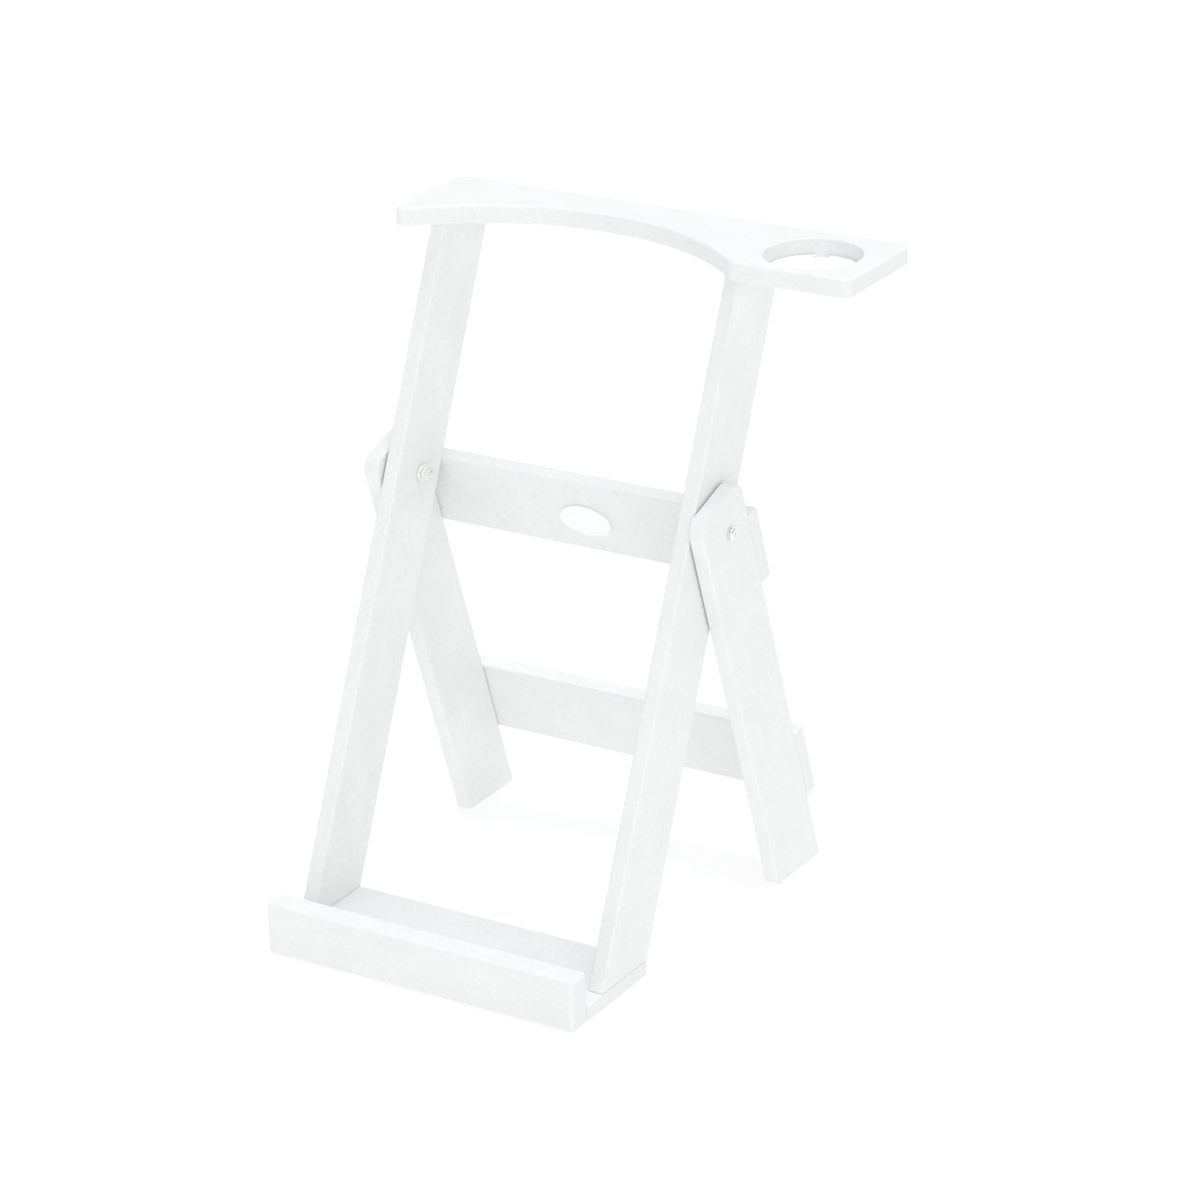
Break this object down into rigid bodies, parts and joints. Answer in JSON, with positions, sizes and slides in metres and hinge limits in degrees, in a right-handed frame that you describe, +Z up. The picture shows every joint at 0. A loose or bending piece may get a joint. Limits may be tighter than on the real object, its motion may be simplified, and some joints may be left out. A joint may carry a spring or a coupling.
{
  "type": "folding golf bag stand",
  "caption": "Folding stand in white plastic lumber that holds a golf bag upright, with a curved bag rest, a cup pocket and a lipped base board on hinged rear legs.",
  "frame": {"origin": "centre of the base board's flat underside, on the floor the stand rests on", "axes": "+Z up, -Y towards the side where the golf bag stands, +X towards the end of the tray with the cup pocket; the rear legs are at +Y"},
  "size_m": [0.573, 0.5086, 0.76],
  "materials": {
    "white_plastic_lumber": "matt extruded face with faint lengthwise streaks",
    "smooth_white_plastic": "smooth and slightly glossy",
    "natural_nylon": "satin, slightly translucent white",
    "stainless_steel": "plain bright steel",
    "white_coated_steel": "white coating that matches the boards"
  },
  "bodies": {
    "front_frame": {"stile_left": "white_plastic_lumber", "stile_right": "white_plastic_lumber", "base_board": "white_plastic_lumber", "lip_board": "white_plastic_lumber", "tray_board": "white_plastic_lumber", "cup_floor": "smooth_white_plastic", "tray_screw_left_front": "white_coated_steel", "tray_screw_left_rear": "white_coated_steel", "tray_screw_right_front": "white_coated_steel", "tray_screw_right_rear": "white_coated_steel", "base_screw_left_front": "white_coated_steel", "base_screw_left_rear": "white_coated_steel", "base_screw_right_front": "white_coated_steel", "base_screw_right_rear": "white_coated_steel", "lip_screw_left": "white_coated_steel", "lip_screw_middle": "white_coated_steel", "lip_screw_right": "white_coated_steel", "tray_plug_left_front": "white_plastic_lumber", "tray_plug_left_rear": "white_plastic_lumber", "tray_plug_right_front": "white_plastic_lumber", "tray_plug_right_rear": "white_plastic_lumber", "lip_plug_left": "white_plastic_lumber", "lip_plug_middle": "white_plastic_lumber", "lip_plug_right": "white_plastic_lumber", "pivot_bolt_left": "stainless_steel", "head_washer_left": "stainless_steel", "hinge_spacer_left": "natural_nylon", "nut_washer_left": "stainless_steel", "lock_nut_left": "stainless_steel", "pivot_bolt_right": "stainless_steel", "head_washer_right": "stainless_steel", "hinge_spacer_right": "natural_nylon", "nut_washer_right": "stainless_steel", "lock_nut_right": "stainless_steel"},
    "rear_frame": {"leg_left": "white_plastic_lumber", "leg_right": "white_plastic_lumber", "upper_rail": "white_plastic_lumber", "lower_rail": "white_plastic_lumber", "badge": "smooth_white_plastic", "upper_rail_screw_left_top": "white_coated_steel", "upper_rail_screw_left_bottom": "white_coated_steel", "upper_rail_screw_right_top": "white_coated_steel", "upper_rail_screw_right_bottom": "white_coated_steel", "lower_rail_screw_left_top": "white_coated_steel", "lower_rail_screw_left_bottom": "white_coated_steel", "lower_rail_screw_right_top": "white_coated_steel", "lower_rail_screw_right_bottom": "white_coated_steel"}
  },
  "joints": [
    {"name": "rear_frame_hinge", "type": "hinge", "parent": "front_frame", "child": "rear_frame", "pos_m": [0, 0.22006, 0.4626], "axis": [-1, 0, 0], "range_deg": [0, 42.4]}
  ]
}
